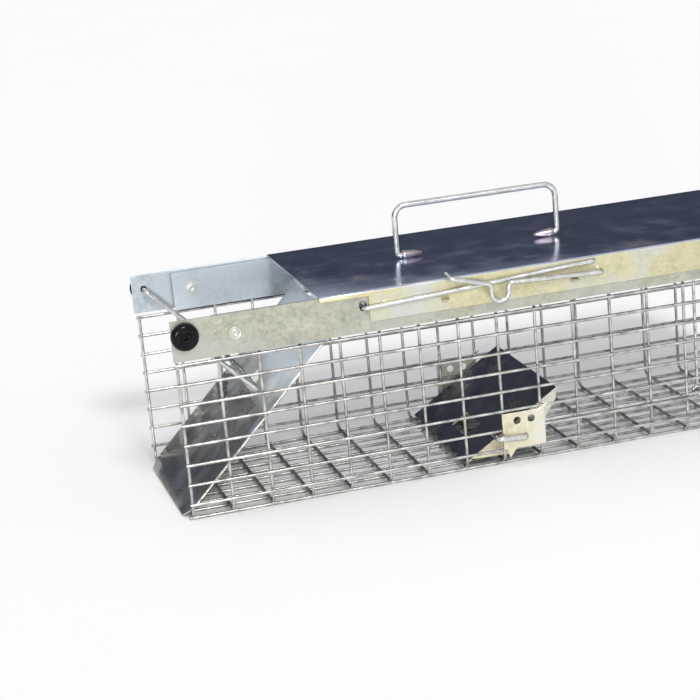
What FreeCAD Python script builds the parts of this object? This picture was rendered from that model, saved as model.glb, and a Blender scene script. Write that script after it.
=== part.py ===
import FreeCAD, Part
import math
import os
from FreeCAD import Vector

# Live catch trap: a welded-mesh cage with a gravity door, a lock bail that drops behind it,
# a tilting trip pan with its rods, and a folding carry handle.
# Frame: +X from the entrance to the rear, -Y the side with the rods, +Z up, floor at Z = 0.
# All sizes are in millimetres.

# ---- cage mesh ----
CELLS_LONG = 17
CELL_LONG = 25.4
CELL_HIGH = 12.7
WIRE_R = 0.95
WIRE_GAP = 0.02              # between two wires that cross
CAGE_WIDTH = 127.7           # between the outer side wires, centre to centre
FIRST_ROW_Z = 11.46
SIDE_ROWS = 8
WIRE_END = 1.6               # cut end beyond the last crossing
CORNER_BEND = 5.0            # radius at which the uprights turn under the cage
FOOT_STUB = 0.2              # straight end of an upright after that bend
FLOOR_WIRES = 10
REAR_GAPS = 10
REAR_ROWS = 4
CLIP_HEIGHT = 6.0
CLIP_WALL = 0.7

# ---- sheet metal ----
SHEET = 1.0
INNER_SHEET = 0.7            # inner rails
RAIL_FRONT = 2.4             # rail in front of the first upright
RAIL_HEIGHT = 25.4
RAIL_ABOVE_ROWS = 2.64       # from the top row of mesh to the rail's lower edge
INNER_RAIL_START = 24.0
INNER_RAIL_DROP = 0.8        # inner rail below the outer one's lower edge
PLATE_START = 90.0
PLATE_SHEET = 0.9
FLANGE_START = 121.0         # where the tall part of the plate's flange starts
FLANGE_RISE = 6.5            # from the rail's lower edge to the flange's
NOTCH_FLANGE = 3.6           # height of the flange over the notch
RIVET_R = 2.4
RIVET_HEAD_R = 4.2
RIVET_HEAD = 0.8             # head thickness outside
RIVET_INNER_HEAD = 0.4       # flat head inside, clear of the bail's legs
RIVET_FRONT = 36.5
RIVET_REAR = 12.7            # from the rear end
RIVET_RISE = 12.6            # above the rail's lower edge

# ---- door and its lock bail ----
DOOR_ANGLE = 45.0
DOOR_GAP = 0.29              # from the closed door to the entrance's first cross wire
DOOR_SIDE_GAP = 4.7          # to the inner rail on each side
DOOR_SHEET = 0.9
DOOR_TIP_Z = 0.8
DOOR_CHAMFER = 7.0
HEM_WIDTH = 5.0
HINGE_RISE = 9.1             # above the rail's lower edge
HINGE_PIN_R = 1.5
KNUCKLE_WALL = 1.0
KNUCKLE_LENGTH = 24.0
PIN_RUN = 0.1                # radial clearance of a turning wire in its hole
TAB_WIDTH = 9.0
TAB_GAP = 0.4                # between the lock tab and the bail's crossbar
BAIL_R = 1.5
BAIL_STANDOFF = 15.0         # from the closed door to the crossbar
BAIL_PIVOT_X = 5.5
BAIL_PIVOT_RISE = 15.8       # above the rail's lower edge
BAIL_SIDE_GAP = 0.7          # between a leg and the inner rail
BAIL_HOLE_PLAY = 0.5
CAP_R = 8.6
CAP_DEPTH = 7.1
CAP_BORE = 4.5               # depth to which the bail's end goes into the cap
CAP_GAP = 0.35

# ---- carry handle ----
HANDLE_LENGTH = 110.0        # between the leg centres
HANDLE_RISE = 32.2
HANDLE_R = 1.85
HANDLE_BEND = 8.0
SOCKET_PLAY = 0.1
SOCKET_WALL = 1.0
SOCKET_REACH = 38.0          # from the handle's middle to the socket's inner end
SOCKET_LENGTH = 14.0

# ---- trip pan ----
PAN_CELL = 8                 # the upright in front of the axle's mesh cell
AXLE_R = 1.9
AXLE_SHIFT = 0.2             # behind the middle of its cell
AXLE_RISE = 7.64             # above the lowest row
CRANK_BEFORE = 5.8           # from the axle's cranked end back to the pan cell's upright
PAN_FRONT_FROM_AXLE = (-36.1, -14.9)
PAN_REAR_FROM_AXLE = (27.1, 24.6)
PAN_SIDE_GAP = 5.9           # to the uprights on each side
PAN_SHEET = 0.9
PAN_LIP = 6.0
BAIT_HOLE = (12.0, 25.0, -23.0, 3.0)   # along the ramp from, to; across from, to
PLATE_HOLE_R = 2.45
BEARING_OVERLAP = (1.7, 1.4)  # past the uprights before and behind the axle's cell
BEARING_INSET = (0.54, 1.46)  # inside the lowest row and the third

# ---- trip rods ----
ROD_R = 1.5
ROD_GAP = 0.3
ROD_CELL = 10                # the upright from which the rods' places are counted
CATCH_PIVOT = (14.0, 23.2)   # behind that upright, and above the rail's lower edge, as below
CATCH_REST = (-87.3, 17.8)   # where the rod lies over its front guide
CATCH_TIP_BEHIND = 10.3      # behind the door's hinge
CATCH_TIP_RISE = 15.6
SLOT_WIDTH = 5.0
SLOT_HEIGHT = 6.4
TIP_REST = 0.35              # under the resting tip
TRIP_PIVOT = (18.0, 16.2)
TRIP_HOOK = -83.0
TRIP_CRANK = 70.0
LOOP_WIDTH = 11.3
LOOP_MIDDLE = -50.3
LOOP_BOTTOM = 8.0
LOOP_TOP = 19.4
GUIDE_R = 2.7
GUIDES = ((-84.5, 14.0), (1.0, 13.6))
ARM_R = 1.2
ARM_RISE = 5.1               # of the pan's arm above the axle
LINK_R = 1.0
LINK_PLAY = 0.95
CRANK_GAP = 1.0              # between the crank and the inner rail, beyond the rods' own gap
EYE_PIN = 4.0                # length of a crank pin past the link's middle

# ---- worked-out places ----
LENGTH = CELLS_LONG * CELL_LONG
WIRE_STACK = 2 * WIRE_R + WIRE_GAP
RAIL_Z = FIRST_ROW_Z + (SIDE_ROWS - 1) * CELL_HIGH + RAIL_ABOVE_ROWS
SIDE_Y = CAGE_WIDTH / 2
UPRIGHT_Y = SIDE_Y - WIRE_STACK
CROSS_Z = WIRE_R + WIRE_STACK
RAIL_Y = SIDE_Y + WIRE_R + WIRE_GAP
RAIL_TOP = RAIL_Z + RAIL_HEIGHT
INNER_RAIL_Y = UPRIGHT_Y - WIRE_R - WIRE_GAP
INNER_FACE_Y = INNER_RAIL_Y - INNER_SHEET
RIVET_Z = RAIL_Z + RIVET_RISE
UPRIGHT_TOP = RIVET_Z - RIVET_R - 1.0
FLANGE_Y = RAIL_Y + SHEET + WIRE_GAP
FLANGE_BOTTOM = RAIL_Z + FLANGE_RISE
PLATE_TOP = RAIL_TOP + PLATE_SHEET
REAR_WIRE_X = LENGTH + WIRE_STACK
REAR_ROW_X = REAR_WIRE_X + WIRE_STACK
FLOOR_END = REAR_WIRE_X - WIRE_R - WIRE_GAP
REAR_FLANGE_X = REAR_ROW_X + WIRE_R + 0.05
REAR_REACH = REAR_FLANGE_X + PLATE_SHEET - LENGTH
DOOR_TURN = math.radians(DOOR_ANGLE)
DOOR_OFFSET = CROSS_Z + (WIRE_R + DOOR_GAP + DOOR_SHEET / 2) / math.cos(DOOR_TURN)
HINGE_Z = RAIL_Z + HINGE_RISE
HINGE_X = (HINGE_Z - DOOR_OFFSET) / math.tan(DOOR_TURN)
DOOR_WIDTH = 2 * (INNER_FACE_Y - DOOR_SIDE_GAP)
DOOR_TIP_X = (DOOR_TIP_Z - DOOR_OFFSET) / math.tan(DOOR_TURN)
DOOR_LENGTH = math.hypot(HINGE_X - DOOR_TIP_X, HINGE_Z - DOOR_TIP_Z)
FRONT_REACH = DOOR_SHEET / 2 * math.sin(DOOR_TURN) - DOOR_TIP_X
ENTRANCE_X = (FRONT_REACH - LENGTH - REAR_REACH) / 2
BAIL_PIVOT_Z = RAIL_Z + BAIL_PIVOT_RISE
BAIL_LEG_Y = INNER_FACE_Y - BAIL_SIDE_GAP - BAIL_R
BAIL_DROP = ((BAIL_PIVOT_Z - DOOR_OFFSET) * math.cos(DOOR_TURN) - BAIL_PIVOT_X * math.sin(DOOR_TURN))
BAIL_LEG = BAIL_DROP - BAIL_STANDOFF
BAR_ALONG = ((HINGE_X - BAIL_PIVOT_X) * math.cos(DOOR_TURN) + (HINGE_Z - BAIL_PIVOT_Z) * math.sin(DOOR_TURN))
HANDLE_X = LENGTH / 2
AXLE_X = (PAN_CELL + 0.5) * CELL_LONG + AXLE_SHIFT
AXLE_Z = FIRST_ROW_Z + AXLE_RISE
BEARING_X = (PAN_CELL * CELL_LONG - BEARING_OVERLAP[0], (PAN_CELL + 1) * CELL_LONG + BEARING_OVERLAP[1])
BEARING_Z = (FIRST_ROW_Z + BEARING_INSET[0], FIRST_ROW_Z + 2 * CELL_HIGH - BEARING_INSET[1])
PAN_FRONT = (AXLE_X + PAN_FRONT_FROM_AXLE[0], AXLE_Z + PAN_FRONT_FROM_AXLE[1])
PAN_REAR = (AXLE_X + PAN_REAR_FROM_AXLE[0], AXLE_Z + PAN_REAR_FROM_AXLE[1])
PAN_WIDTH = 2 * (UPRIGHT_Y - WIRE_R - PAN_SIDE_GAP)
CATCH_Y = FLANGE_Y + PLATE_SHEET + ROD_GAP + ROD_R
TRIP_Y = CATCH_Y + 2 * ROD_R + ROD_GAP
PAN_SLOPE = math.atan2(PAN_REAR[1] - PAN_FRONT[1], PAN_REAR[0] - PAN_FRONT[0])
PAN_LENGTH = math.hypot(PAN_REAR[0] - PAN_FRONT[0], PAN_REAR[1] - PAN_FRONT[1])
ARM_Y = PAN_WIDTH / 2 + ARM_R + 0.05
ARM_Z = AXLE_Z + ARM_RISE
ROD_ZERO = ROD_CELL * CELL_LONG
CATCH_TIP = (HINGE_X + CATCH_TIP_BEHIND - ROD_ZERO, CATCH_TIP_RISE)
CRANK_Y = INNER_FACE_Y - ROD_GAP - ROD_R - CRANK_GAP
LINK_X = ROD_ZERO + TRIP_PIVOT[0] + TRIP_CRANK
LINK_Y = -(PAN_WIDTH / 2 - 2.5)
NEAR = -1
FAR = 1


def on_rail(place):
    """A rod's place as distance from the entrance and absolute height."""
    return ROD_ZERO + place[0], RAIL_Z + place[1]


def at(x, y, z):
    """A point whose X is counted from the entrance's first upright."""
    return Vector(ENTRANCE_X + x, y, z)


def block(x, y, z):
    """A box between two values along each axis, X counted from the entrance."""
    corner = at(min(x), min(y), min(z))
    return Part.makeBox(abs(x[1] - x[0]), abs(y[1] - y[0]), abs(z[1] - z[0]), corner)


def rod(start, end, radius):
    """A straight round rod between two points."""
    return Part.makeCylinder(radius, (end - start).Length, start, end - start)


def across(x, z, y, radius):
    """A round rod or hole along Y."""
    return rod(at(x, min(y), z), at(x, max(y), z), radius)


def bent_wire(points, radius, bends):
    """A round wire through the points, with a tangent arc at each inner one."""
    edges = []
    start = points[0]
    for before, corner, after, bend in zip(points, points[1:], points[2:], bends):
        back = (before - corner).normalize()
        ahead = (after - corner).normalize()
        half = back.getAngle(ahead) / 2
        middle = (back + ahead).normalize()
        reach = bend / math.tan(half)
        arc_in = corner + back * reach
        arc_out = corner + ahead * reach
        arc_mid = corner + middle * (bend / math.sin(half) - bend)
        edges.append(Part.LineSegment(start, arc_in).toShape())
        edges.append(Part.Arc(arc_in, arc_mid, arc_out).toShape())
        start = arc_out
    edges.append(Part.LineSegment(start, points[-1]).toShape())
    circle = Part.Wire([Part.Circle(points[0], points[1] - points[0], radius).toShape()])
    return Part.Wire(edges).makePipeShell([circle], True, False)


def prism(outline, y):
    """A flat plate in the XZ plane between two Y values."""
    low, high = sorted(y)
    points = [at(x, low, z) for x, z in outline]
    face = Part.Face(Part.makePolygon(points + points[:1]))
    return face.extrude(Vector(0, high - low, 0))


def slanted(shape, origin, slope):
    """A shape drawn level at the origin, turned nose up by the slope and put in place."""
    shape.rotate(Vector(0, 0, 0), Vector(0, 1, 0), -math.degrees(slope))
    shape.translate(at(origin[0], 0, origin[1]))
    return shape


def joined(shapes):
    """The shapes as one solid, without the seams between them."""
    return shapes[0].multiFuse(shapes[1:]).removeSplitter()


def save(node, shapes):
    """One STEP file for a node, as one solid or as a group of them."""
    shape = shapes if isinstance(shapes, Part.Shape) else Part.makeCompound(shapes)
    shape.exportStep("parts/" + node + ".step")


def upright_wire(side, column):
    """A side upright that bends in under the cage to meet its floor wire."""
    x = column * CELL_LONG
    top = UPRIGHT_TOP if column else RAIL_Z - WIRE_END
    points = [at(x, side * UPRIGHT_Y, top), at(x, side * UPRIGHT_Y, CROSS_Z),
              at(x, side * (UPRIGHT_Y - CORNER_BEND - FOOT_STUB), CROSS_Z)]
    return bent_wire(points, WIRE_R, [CORNER_BEND])


def side_mesh(side):
    """The wires of one side: rows outside, uprights inside."""
    rows = [rod(at(-WIRE_END, side * SIDE_Y, FIRST_ROW_Z + CELL_HIGH * row),
                at(LENGTH + WIRE_END, side * SIDE_Y, FIRST_ROW_Z + CELL_HIGH * row), WIRE_R)
            for row in range(SIDE_ROWS)]
    return rows + [upright_wire(side, column) for column in range(CELLS_LONG + 1)]


def floor_mesh():
    """The floor: long wires below, cross wires above between the uprights' feet."""
    outer = (FLOOR_WIRES - 1) / 2 * CELL_HIGH
    wires = []
    for index in range(FLOOR_WIRES):
        y = index * CELL_HIGH - outer
        wires.append(rod(at(-WIRE_END, y, WIRE_R), at(FLOOR_END, y, WIRE_R), WIRE_R))
    reach = UPRIGHT_Y - CORNER_BEND - FOOT_STUB
    for column in range(CELLS_LONG + 1):
        wires.append(across(column * CELL_LONG, CROSS_Z, (-reach, reach), WIRE_R))
    return wires


def rear_mesh():
    """The closed rear end: uprights inside, rows outside."""
    gap = 2 * UPRIGHT_Y / REAR_GAPS
    wires = []
    for index in range(REAR_GAPS + 1):
        y = index * gap - UPRIGHT_Y
        wires.append(rod(at(REAR_WIRE_X, y, 0.3), at(REAR_WIRE_X, y, UPRIGHT_TOP), WIRE_R))
    reach = UPRIGHT_Y + WIRE_R
    for row in range(REAR_ROWS):
        wires.append(across(REAR_ROW_X, FIRST_ROW_Z + row * 2 * CELL_HIGH, (-reach, reach), WIRE_R))
    return wires


def corner_clip(side, z):
    """A flat band closed around the last upright and the rear panel's outer wire."""
    def oval(radius, low, high):
        y = side * UPRIGHT_Y
        ends = [Part.makeCylinder(radius, high - low, at(x, y, low)) for x in (LENGTH, REAR_WIRE_X)]
        return joined(ends + [block((LENGTH, REAR_WIRE_X), (y - radius, y + radius), (low, high))])
    bore = WIRE_R + 0.02
    low = z - CLIP_HEIGHT / 2
    high = z + CLIP_HEIGHT / 2
    return oval(bore + CLIP_WALL, low, high).cut(oval(bore, low - 1, high + 1))


def corner_clips():
    first = FIRST_ROW_Z + CELL_HIGH / 2
    heights = [first + row * 2 * CELL_HIGH for row in range(REAR_ROWS)]
    return [corner_clip(side, z) for side in (NEAR, FAR) for z in heights]


def slot(y):
    """The upright rounded slot for the catch rod's tip."""
    x, tip_z = on_rail(CATCH_TIP)
    z = tip_z - ROD_R - TIP_REST + SLOT_HEIGHT / 2
    radius = SLOT_WIDTH / 2
    rise = SLOT_HEIGHT / 2 - SLOT_WIDTH / 2
    return joined([across(x, z + rise, y, radius), across(x, z - rise, y, radius),
                   block((x - radius, x + radius), y, (z - rise, z + rise))])


def rod_holes(y):
    """The pivot holes of the two rods."""
    return [across(*on_rail(pivot), y, ROD_R + PIN_RUN) for pivot in (TRIP_PIVOT, CATCH_PIVOT)]


def rivet_places():
    """Each rivet's distance along, and whether it also goes through the top plate's flange."""
    return [(RIVET_FRONT, False), (LENGTH - RIVET_REAR, True)]


def outer_rail(side):
    """The outer side rail, holed for the bail, the rivets and, on the near side, the rods."""
    inside, outside = side * RAIL_Y, side * (RAIL_Y + SHEET)
    through = (side * (RAIL_Y - 1), side * (RAIL_Y + SHEET + 1))
    rail = block((-RAIL_FRONT, LENGTH + WIRE_END), (inside, outside), (RAIL_Z, RAIL_TOP))
    cuts = [across(BAIL_PIVOT_X, BAIL_PIVOT_Z, through, BAIL_R + BAIL_HOLE_PLAY)]
    cuts += [across(x, RIVET_Z, through, RIVET_R) for x, _ in rivet_places()]
    if side == NEAR:
        cuts.append(slot(through))
        cuts += rod_holes(through)
    return rail.cut(Part.makeCompound(cuts))


def inner_rail(side):
    """The inner rail: a strip that clamps the uprights, its top folded out to the outer rail."""
    top = RAIL_TOP - 0.9
    along = (INNER_RAIL_START, LENGTH + WIRE_END)
    web = block(along, (side * INNER_FACE_Y, side * INNER_RAIL_Y), (RAIL_Z - INNER_RAIL_DROP, top))
    fold = block(along, (side * INNER_FACE_Y, side * (RAIL_Y - WIRE_GAP)), (top - INNER_SHEET, top))
    rail = joined([web, fold])
    through = (side * (INNER_FACE_Y - 1), side * (INNER_RAIL_Y + 1))
    cuts = [across(HINGE_X, HINGE_Z, through, HINGE_PIN_R + 0.01)]
    cuts += [across(x, RIVET_Z, through, RIVET_R) for x, _ in rivet_places()]
    if side == NEAR:
        cuts.append(slot(through))
        cuts.append(across(*on_rail(TRIP_PIVOT), through, ROD_R + PIN_RUN))
    return rail.cut(Part.makeCompound(cuts))


def rail_rivets():
    """Tubular rivets through both rails; the rear ones also hold the top plate's flange."""
    rivets = []
    for side in (NEAR, FAR):
        for x, through_flange in rivet_places():
            outer = FLANGE_Y + PLATE_SHEET if through_flange else RAIL_Y + SHEET
            inner_end = INNER_FACE_Y - RIVET_INNER_HEAD
            outer_end = outer + RIVET_HEAD
            body = across(x, RIVET_Z, (side * inner_end, side * outer_end), RIVET_R - 0.01)
            heads = [across(x, RIVET_Z, (side * inner_end, side * INNER_FACE_Y), RIVET_HEAD_R),
                     across(x, RIVET_Z, (side * outer, side * outer_end), RIVET_HEAD_R)]
            dimple = across(x, RIVET_Z, (side * (outer - 0.6), side * (outer_end + 1)), RIVET_R - 1)
            rivets.append(joined([body] + heads).cut(dimple))
    return rivets


def handle_socket(end):
    """A half-cone pushed up from the plate, bored for one foot of the handle."""
    bore = HANDLE_R + SOCKET_PLAY
    axis_z = PLATE_TOP + 0.25 + bore
    mouth = at(HANDLE_X + end * (SOCKET_REACH + SOCKET_LENGTH), 0, axis_z)
    half = SOCKET_LENGTH / 2
    inward = Vector(-end, 0, 0)
    straight = Part.makeCylinder(bore + SOCKET_WALL, half, mouth, inward)
    nose = Part.makeCone(bore + SOCKET_WALL, 1.0, half, mouth + inward * half, inward)
    hollow = Part.makeCylinder(bore, SOCKET_LENGTH - 5, mouth - inward, inward)
    return straight.fuse(nose), hollow


def guide_cup(place):
    """A half-round guide pushed out of the flange under a rod."""
    x, z = on_rail(place)
    centre = at(x, -(FLANGE_Y + PLATE_SHEET - 0.1), z)
    shell = Part.makeSphere(GUIDE_R, centre).cut(Part.makeSphere(GUIDE_R - PLATE_SHEET, centre))
    return shell.common(block((x - 3, x + 3), (centre.y - 3, centre.y), (z - 3, z)))


def top_plate():
    """The top plate: a channel over the rails with sockets, guides and a rear flange."""
    rear = REAR_FLANGE_X + PLATE_SHEET
    outer = FLANGE_Y + PLATE_SHEET
    pieces = [block((PLATE_START, rear), (-outer, outer), (RAIL_TOP, PLATE_TOP)),
              block((REAR_FLANGE_X, rear), (-outer, outer), (FLANGE_BOTTOM, PLATE_TOP))]
    for side in (NEAR, FAR):
        wall = (side * FLANGE_Y, side * outer)
        pieces.append(block((FLANGE_START, rear), wall, (FLANGE_BOTTOM, PLATE_TOP)))
        pieces.append(block((PLATE_START, rear), wall, (PLATE_TOP - NOTCH_FLANGE, PLATE_TOP)))
    sockets = [handle_socket(end) for end in (-1, 1)]
    pieces += [body.common(block((0, LENGTH), (-9, 9), (RAIL_TOP, RAIL_TOP + 20))) for body, _ in sockets]
    pieces += [guide_cup(place) for place in GUIDES]
    through = (-outer - 1, -FLANGE_Y + 1)
    cuts = [hollow for _, hollow in sockets]
    cuts += rod_holes(through)
    for x, through_flange in rivet_places():
        if through_flange:
            cuts.append(across(x, RIVET_Z, (-outer - 1, outer + 1), RIVET_R))
    return joined(pieces).cut(Part.makeCompound(cuts))


def carry_handle():
    """The bail-shaped handle, upright, its feet turned in to the sockets."""
    foot_z = PLATE_TOP + 0.25 + HANDLE_R + SOCKET_PLAY
    half = HANDLE_LENGTH / 2
    inner = SOCKET_REACH + 6.5
    points = [at(HANDLE_X - inner, 0, foot_z), at(HANDLE_X - half, 0, foot_z),
              at(HANDLE_X - half, 0, foot_z + HANDLE_RISE), at(HANDLE_X + half, 0, foot_z + HANDLE_RISE),
              at(HANDLE_X + half, 0, foot_z), at(HANDLE_X + inner, 0, foot_z)]
    foot_bend = HANDLE_R + 1.0
    return bent_wire(points, HANDLE_R, [foot_bend, HANDLE_BEND, HANDLE_BEND, foot_bend])


def door_box(along, across_y, rise):
    """A box in the door's own frame: distance from the hinge towards the tip, Y, rise."""
    shape = Part.makeBox(along[1] - along[0], across_y[1] - across_y[0], rise[1] - rise[0],
                         Vector(-along[1], across_y[0], rise[0]))
    return slanted(shape, (HINGE_X, HINGE_Z), DOOR_TURN)


def door_corner(side):
    """The triangle cut off one corner of the door's tip."""
    low = -DOOR_SHEET * 2
    tip = DOOR_LENGTH + 0.01
    edge = side * (DOOR_WIDTH / 2 + 0.01)
    points = [Vector(-tip, edge, low), Vector(-tip + DOOR_CHAMFER, edge, low),
              Vector(-tip, edge - side * DOOR_CHAMFER, low)]
    face = Part.Face(Part.makePolygon(points + points[:1]))
    return slanted(face.extrude(Vector(0, 0, DOOR_SHEET * 4)), (HINGE_X, HINGE_Z), DOOR_TURN)


def lock_tab():
    """A tongue lanced from the door that rises below the bail's crossbar, and its window."""
    half = DOOR_SHEET / 2
    reach = (BAIL_R + TAB_GAP) * math.sin(math.radians(45))
    tip = (BAR_ALONG + reach, BAIL_STANDOFF - reach)
    foot = tip[0] + 4.6
    outline = [(foot, -half), (foot, half), (foot - 1.2, half + 5.0), (tip[0] - 0.6, tip[1] - 0.7),
               tip, (foot - 0.2, half + 5.4), (foot + DOOR_SHEET, half), (foot + DOOR_SHEET, -half)]
    points = [Vector(-along, -TAB_WIDTH / 2, rise) for along, rise in outline]
    tongue = Part.Face(Part.makePolygon(points + points[:1])).extrude(Vector(0, TAB_WIDTH, 0))
    window = door_box((foot - 12.0, foot), (-TAB_WIDTH / 2 - 1, TAB_WIDTH / 2 + 1), (-2, 2))
    return slanted(tongue, (HINGE_X, HINGE_Z), DOOR_TURN), window


def door_panel():
    """The door: a sheet with hemmed sides, hinge knuckles, a lock tab and a catch ear."""
    half = DOOR_SHEET / 2
    edge = DOOR_WIDTH / 2
    knuckle_r = HINGE_PIN_R + PIN_RUN + KNUCKLE_WALL
    sheet = door_box((HINGE_PIN_R, DOOR_LENGTH), (-edge, edge), (-half, half))
    hems = [door_box((8.0, DOOR_LENGTH - DOOR_CHAMFER),
                     sorted((side * edge, side * (edge - HEM_WIDTH))), (-half - DOOR_SHEET, -half))
            for side in (NEAR, FAR)]
    tongue, window = lock_tab()
    knuckles = [across(HINGE_X, HINGE_Z, (start, start + KNUCKLE_LENGTH), knuckle_r)
                for start in (-edge, -KNUCKLE_LENGTH / 2, edge - KNUCKLE_LENGTH)]
    ear = prism([(HINGE_X - 2.4, HINGE_Z), (HINGE_X - 0.8, HINGE_Z + 9.6), (HINGE_X + 1.8, HINGE_Z + 10.0),
                 (HINGE_X + 4.2, HINGE_Z + 8.6), (HINGE_X + 2.5, HINGE_Z)], (-edge, -edge + 1.5))
    body = joined([sheet.cut(window)] + hems + [tongue] + knuckles + [ear])
    gaps = [door_box((-4, knuckle_r + 0.6), sorted((side * (KNUCKLE_LENGTH / 2 + 0.5),
                                                   side * (edge - KNUCKLE_LENGTH - 0.5))), (-4, 4))
            for side in (NEAR, FAR)]
    bore = across(HINGE_X, HINGE_Z, (-edge - 1, edge + 1), HINGE_PIN_R + PIN_RUN)
    return body.cut(Part.makeCompound(gaps + [bore, door_corner(NEAR), door_corner(FAR)]))


def door_hinge_pin():
    return across(HINGE_X, HINGE_Z, (-RAIL_Y + 0.05, RAIL_Y - 0.05), HINGE_PIN_R)


def lock_bail():
    """The U-shaped bail, square to the closed door, its ends turned out through the rails."""
    reach_x = BAIL_PIVOT_X + BAIL_LEG * math.cos(DOOR_TURN)
    reach_z = BAIL_PIVOT_Z - BAIL_LEG * math.sin(DOOR_TURN)
    end_y = RAIL_Y + SHEET + CAP_GAP + CAP_BORE
    points = [at(BAIL_PIVOT_X, -end_y, BAIL_PIVOT_Z), at(BAIL_PIVOT_X, -BAIL_LEG_Y, BAIL_PIVOT_Z),
              at(reach_x, -BAIL_LEG_Y, reach_z), at(reach_x, BAIL_LEG_Y, reach_z),
              at(BAIL_PIVOT_X, BAIL_LEG_Y, BAIL_PIVOT_Z), at(BAIL_PIVOT_X, end_y, BAIL_PIVOT_Z)]
    bend = BAIL_R + 1.0
    return bent_wire(points, BAIL_R, [bend] * 4)


def bail_cap(side):
    """A round push-on cap on one end of the bail, with a raised centre."""
    start = RAIL_Y + SHEET + CAP_GAP
    outward = Vector(0, side, 0)
    base = at(BAIL_PIVOT_X, side * start, BAIL_PIVOT_Z)
    disc = Part.makeCylinder(CAP_R, CAP_DEPTH * 0.7, base, outward)
    crown = Part.makeCone(CAP_R, CAP_R * 0.62, CAP_DEPTH * 0.22, base + outward * CAP_DEPTH * 0.7, outward)
    boss = Part.makeCylinder(CAP_R * 0.36, CAP_DEPTH, base, outward)
    bore = Part.makeCylinder(BAIL_R, CAP_BORE, base, outward)
    return joined([disc, crown, boss]).cut(bore)


def ramp_box(along, across_y, rise):
    """A box in the pan's own frame: distance up the ramp, Y, rise off it."""
    shape = Part.makeBox(along[1] - along[0], across_y[1] - across_y[0], rise[1] - rise[0],
                         Vector(along[0], across_y[0], rise[0]))
    return slanted(shape, PAN_FRONT, PAN_SLOPE)


def trip_pan():
    """The ramp-shaped pan with its bait window, rear lip and bearing flanges."""
    half = PAN_SHEET / 2
    edge = PAN_WIDTH / 2
    ramp = ramp_box((0, PAN_LENGTH), (-edge, edge), (-half, half))
    lip_end = (PAN_REAR[0] + PAN_LIP * 0.7, PAN_REAR[1] - PAN_LIP * 0.7)
    front_x, front_z = PAN_FRONT
    rear_x, rear_z = PAN_REAR
    lip = prism([PAN_REAR, (rear_x, rear_z - PAN_SHEET), (lip_end[0] - PAN_SHEET, lip_end[1]), lip_end],
                (-edge + 8, edge - 8))
    outline = [(front_x + 4, front_z + 2.4), (rear_x - 1, rear_z - 1), (rear_x - 1, rear_z - 7),
               (AXLE_X + 10, AXLE_Z - 5), (AXLE_X - 8, AXLE_Z - 14), (front_x + 5, front_z + 1.4)]
    flanges = [prism(outline, (side * edge, side * (edge - PAN_SHEET))) for side in (NEAR, FAR)]
    start, end, low, high = BAIT_HOLE
    window = ramp_box((start, end), (low, high), (-2, 2))
    axle_hole = across(AXLE_X, AXLE_Z, (-edge - 1, edge + 1), AXLE_R + PIN_RUN)
    return joined([ramp, lip] + flanges).cut(Part.makeCompound([window, axle_hole]))


def pan_axle():
    """The fixed axle wire: across the cage, then forward outside and back in through the mesh."""
    bend = AXLE_R + 0.8
    run_y = RAIL_Y + SHEET + 0.05 + bend
    crank_x = PAN_CELL * CELL_LONG - CRANK_BEFORE
    crank_z = AXLE_Z + 1.6
    points = [at(AXLE_X, RAIL_Y + SHEET + 3.2, AXLE_Z), at(AXLE_X, -run_y, AXLE_Z),
              at(crank_x, -run_y, crank_z), at(crank_x, -UPRIGHT_Y + 3.5, crank_z)]
    return bent_wire(points, AXLE_R, [bend, bend])


def axle_push_nut():
    """The spring nut pushed on the axle's far end."""
    start = RAIL_Y + SHEET + 0.1
    nut = across(AXLE_X, AXLE_Z, (start, start + 1.6), 5.0)
    rim = across(AXLE_X, AXLE_Z, (start, start + 2.4), 3.2)
    return nut.fuse(rim).removeSplitter().cut(across(AXLE_X, AXLE_Z, (start - 1, start + 4), AXLE_R + 0.01))


def bearing_plate(side):
    """A plate clipped over one mesh cell, holed for the axle and for two other settings."""
    low_x, high_x = BEARING_X
    low_z, high_z = BEARING_Z
    wall = (side * RAIL_Y, side * (RAIL_Y + SHEET))
    through = (side * (RAIL_Y - 1), side * (RAIL_Y + SHEET + 1))
    plate = block(BEARING_X, wall, BEARING_Z)
    horn = prism([(high_x - 5, high_z - 0.5), (high_x, high_z - 0.5), (high_x + 3.4, high_z + 4.6)], wall)
    foot = prism([(low_x + 2, low_z + 0.5), (low_x + 9, low_z + 0.5), (low_x + 4, low_z - 6)], wall)
    holes = [across(AXLE_X + shift, AXLE_Z + 10.9, through, PLATE_HOLE_R) for shift in (-4.75, 4.75)]
    holes.append(across(AXLE_X, AXLE_Z, through, AXLE_R + 0.01))
    return joined([plate, horn, foot]).cut(Part.makeCompound(holes))


def pan_arm():
    """The wire welded along the pan's near flange that carries the link behind it."""
    points = [at(AXLE_X + 9, -ARM_Y, ARM_Z), at(LINK_X, -ARM_Y, ARM_Z), at(LINK_X, LINK_Y + EYE_PIN, ARM_Z)]
    return bent_wire(points, ARM_R, [ARM_R + 0.6])


def link_eye(z, pin_r):
    """A ring of the link's wire around a pin, with play."""
    return Part.makeTorus(pin_r + LINK_PLAY + LINK_R, LINK_R, at(LINK_X, LINK_Y, z), Vector(0, 1, 0))


def trip_link():
    """The upright wire that ties the pan's arm to the trip rod's crank."""
    top_z = on_rail(TRIP_PIVOT)[1]
    low_eye = ARM_R + LINK_PLAY + LINK_R
    high_eye = ROD_R + LINK_PLAY + LINK_R
    stem = rod(at(LINK_X, LINK_Y, ARM_Z + low_eye), at(LINK_X, LINK_Y, top_z - high_eye), LINK_R)
    return joined([link_eye(ARM_Z, ARM_R), link_eye(top_z, ROD_R), stem])


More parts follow.
